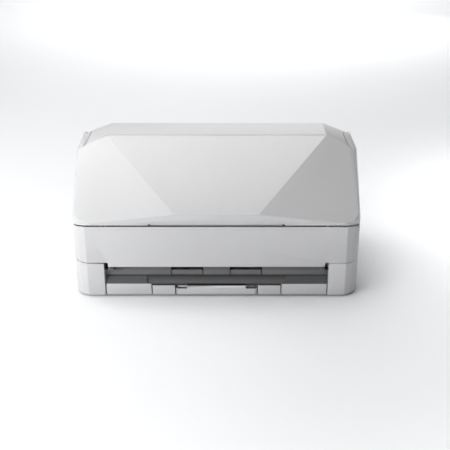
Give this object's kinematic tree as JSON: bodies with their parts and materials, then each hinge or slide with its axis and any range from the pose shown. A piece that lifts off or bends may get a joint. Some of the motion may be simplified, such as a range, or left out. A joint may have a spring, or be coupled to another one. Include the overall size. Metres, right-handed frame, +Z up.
{
  "type": "sheet fed document scanner",
  "caption": "Desktop sheet fed document scanner with a faceted hinged hood that opens into a feed tray, a hinged front cover and a pull-out stacker.",
  "frame": {"origin": "middle of the bounding box on the table plane, under the feet", "axes": "+X to the right seen from the front, -Y towards the front where the paper comes out, +Z up"},
  "size_m": [0.292, 0.161, 0.152],
  "materials": {
    "white": "off-white moulded plastic, fine satin grain",
    "pale": "pale grey moulded plastic, satin",
    "grey": "mid grey moulded plastic",
    "dark": "near black moulded plastic",
    "rubber": "matt black rubber",
    "roller": "ground grey rubber",
    "steel": "ground steel",
    "zinc": "zinc plated sheet steel",
    "glass": "dark polished glass",
    "gear": "natural acetal",
    "board": "green solder resist",
    "belt": "black toothed belt"
  },
  "bodies": {
    "base": {"lower_case": "white", "foot_front_left": "rubber", "foot_front_right": "rubber", "foot_rear_left": "rubber", "foot_rear_right": "rubber", "side_cover_left": "white", "side_cover_right": "white", "rear_cover": "white", "dc_inlet": "dark", "usb_port": "steel", "side_frame_left": "zinc", "side_frame_right": "zinc", "rear_guide": "grey", "scan_unit_rear": "dark", "scan_glass_rear": "glass", "scan_bridge": "grey", "exit_guide": "grey", "control_deck": "pale", "touch_panel_bezel": "dark", "touch_panel_glass": "glass", "idler_stud_upper": "steel", "idler_stud_lower": "steel", "drive_motor": "zinc", "drive_belt": "belt", "main_board": "board", "brake_shaft": "steel", "idler_shaft": "steel"},
    "hood": {"hood_shell": "white", "hood_top_panel": "white", "chute_plate": "grey", "hood_hinge_pin_left": "steel", "hood_hinge_pin_right": "steel"},
    "chute_extension": {"chute_extension": "white"},
    "guide_right": {"side_guide_right": "pale"},
    "guide_left": {"side_guide_left": "pale"},
    "guide_pinion": {"guide_pinion": "gear"},
    "front_cover": {"front_cover": "white", "scan_unit_front": "dark", "scan_glass_front": "glass", "front_cover_pin_left": "steel", "front_cover_pin_right": "steel"},
    "stacker": {"stacker_tray": "pale"},
    "stacker_ext_1": {"stacker_extension_1": "pale"},
    "stacker_ext_2": {"stacker_extension_2": "pale"},
    "pick_unit": {"pick_shaft": "steel", "pick_roller": "roller", "pick_gear": "gear"},
    "feed_unit": {"feed_shaft": "steel", "feed_roller": "roller", "feed_gear": "gear", "feed_pulley": "gear"},
    "eject_unit": {"eject_shaft": "steel", "eject_roller": "roller", "eject_pulley": "gear"},
    "brake": {"brake_roller": "roller"},
    "idlers": {"idler_roller": "gear"},
    "gear_upper": {"idler_gear_upper": "gear"},
    "gear_lower": {"idler_gear_lower": "gear"},
    "motor_shaft": {"motor_pinion": "steel"}
  },
  "joints": [
    {"name": "hood_hinge", "type": "hinge", "parent": "base", "child": "hood", "pos_m": [0, 0.05, 0.121], "axis": [-1, 0, 0], "range_deg": [0, 140]},
    {"name": "chute_extension_slide", "type": "slide", "parent": "hood", "child": "chute_extension", "axis": [0, -0.9272, -0.3746], "range_m": [0, 0.056]},
    {"name": "side_guide_right_slide", "type": "slide", "parent": "hood", "child": "guide_right", "axis": [1, 0, 0], "range_m": [-0.026, 0.053]},
    {"name": "side_guide_left_slide", "type": "slide", "parent": "hood", "child": "guide_left", "axis": [-1, 0, 0], "range_m": [-0.026, 0.053]},
    {"name": "guide_pinion_spin", "type": "hinge", "parent": "hood", "child": "guide_pinion", "pos_m": [0, 0.02102, 0.12331], "axis": [0, -0.3746, 0.9272], "range_deg": [-248.5, 506.5]},
    {"name": "front_cover_hinge", "type": "hinge", "parent": "base", "child": "front_cover", "pos_m": [0, -0.071, 0.031], "axis": [1, 0, 0], "range_deg": [0, 60]},
    {"name": "stacker_slide", "type": "slide", "parent": "base", "child": "stacker", "axis": [0, -1, 0], "range_m": [0, 0.06]},
    {"name": "stacker_extension_1_slide", "type": "slide", "parent": "stacker", "child": "stacker_ext_1", "axis": [0, -1, 0], "range_m": [0, 0.07]},
    {"name": "stacker_extension_2_slide", "type": "slide", "parent": "stacker_ext_1", "child": "stacker_ext_2", "axis": [0, -1, 0], "range_m": [0, 0.065]},
    {"name": "feed_spin", "type": "hinge", "parent": "base", "child": "feed_unit", "pos_m": [0, 0.0296, 0.0516], "axis": [1, 0, 0], "continuous": true},
    {"name": "pick_spin", "type": "hinge", "parent": "base", "child": "pick_unit", "pos_m": [0, 0.0538, 0.0789], "axis": [1, 0, 0], "continuous": true},
    {"name": "eject_spin", "type": "hinge", "parent": "base", "child": "eject_unit", "pos_m": [0, -0.061, 0.0218], "axis": [1, 0, 0], "continuous": true},
    {"name": "idler_gear_upper_spin", "type": "hinge", "parent": "base", "child": "gear_upper", "pos_m": [0, 0.04167, 0.06522], "axis": [1, 0, 0], "continuous": true},
    {"name": "idler_gear_lower_spin", "type": "hinge", "parent": "base", "child": "gear_lower", "pos_m": [0, 0.04593, 0.03809], "axis": [1, 0, 0], "continuous": true},
    {"name": "motor_spin", "type": "hinge", "parent": "base", "child": "motor_shaft", "pos_m": [0, 0.05765, 0.0284], "axis": [1, 0, 0], "continuous": true},
    {"name": "brake_roller_spin", "type": "hinge", "parent": "base", "child": "brake", "pos_m": [0, 0.0364, 0.0894], "axis": [1, 0, 0], "continuous": true},
    {"name": "idler_roller_spin", "type": "hinge", "parent": "base", "child": "idlers", "pos_m": [0, 0.0205, 0.06685], "axis": [1, 0, 0], "continuous": true}
  ],
  "couplings": [
    {"joint": "side_guide_left_slide", "follows": "side_guide_right_slide", "ratio": 1},
    {"joint": "guide_pinion_spin", "follows": "side_guide_right_slide", "rad_per_m": 166.67},
    {"joint": "pick_spin", "follows": "feed_spin", "ratio": 1},
    {"joint": "eject_spin", "follows": "feed_spin", "ratio": 1},
    {"joint": "idler_gear_upper_spin", "follows": "feed_spin", "ratio": -2},
    {"joint": "idler_gear_lower_spin", "follows": "feed_spin", "ratio": -1.3333},
    {"joint": "motor_spin", "follows": "feed_spin", "ratio": 2}
  ]
}
